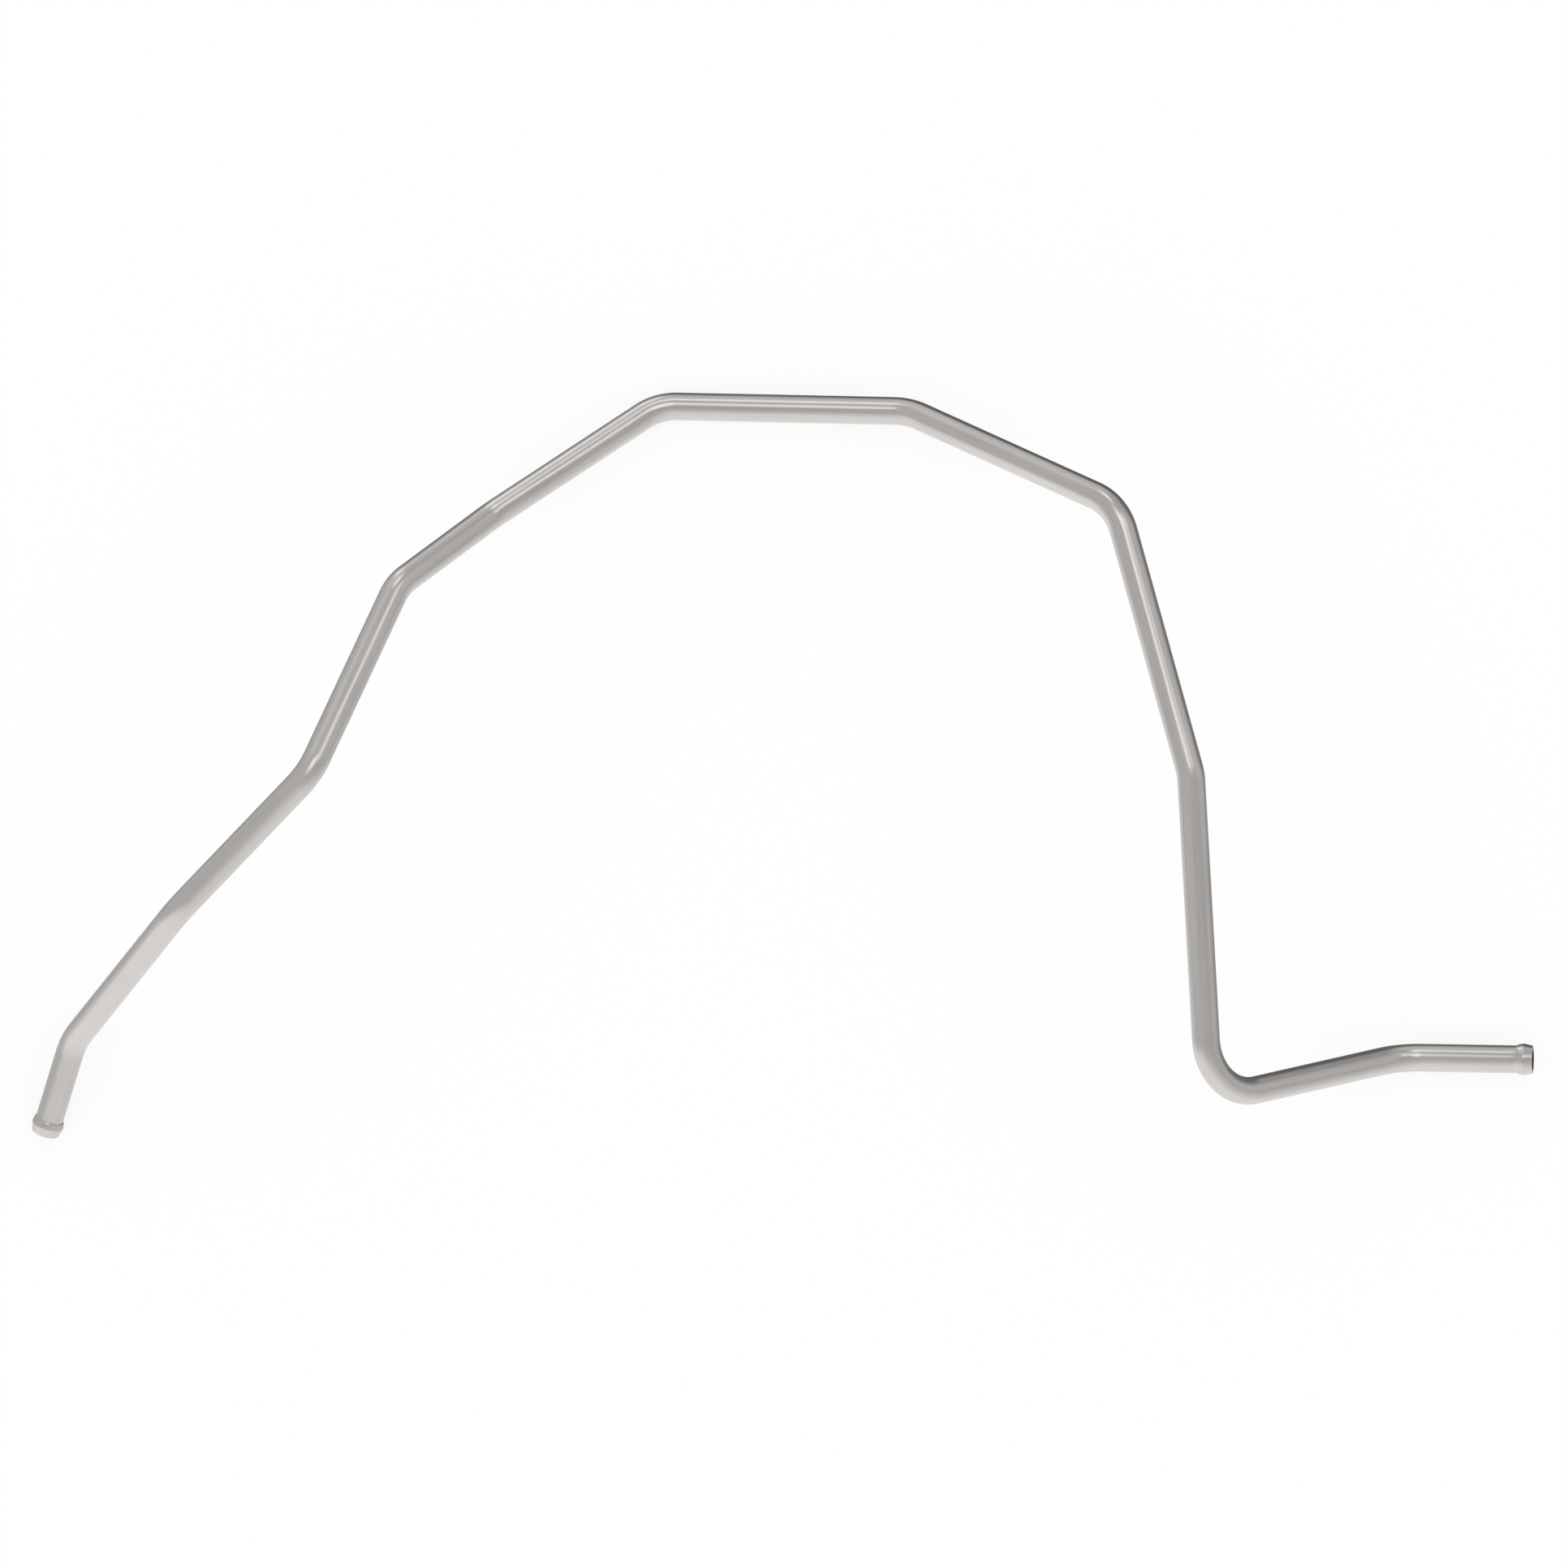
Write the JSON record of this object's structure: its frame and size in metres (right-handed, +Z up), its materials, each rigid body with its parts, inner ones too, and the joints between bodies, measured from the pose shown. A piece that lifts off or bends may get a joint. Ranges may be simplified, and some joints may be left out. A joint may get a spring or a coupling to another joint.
{
  "type": "fuel return line",
  "caption": "Rigid steel fuel return line, bent in space to clear an engine, with a formed hose bead at each open end.",
  "frame": {"origin": "bottom centre of the part's bounding box, on the surface that the line lies on", "axes": "+X along the longest extent, from the left mouth to the right mouth, +Y towards the far side of the arch, +Z up from the surface that the line lies on"},
  "size_m": [0.5396, 0.2684, 0.088],
  "materials": {
    "steel": "satin"
  },
  "bodies": {
    "root": {"return_tube": "steel"}
  },
  "joints": []
}
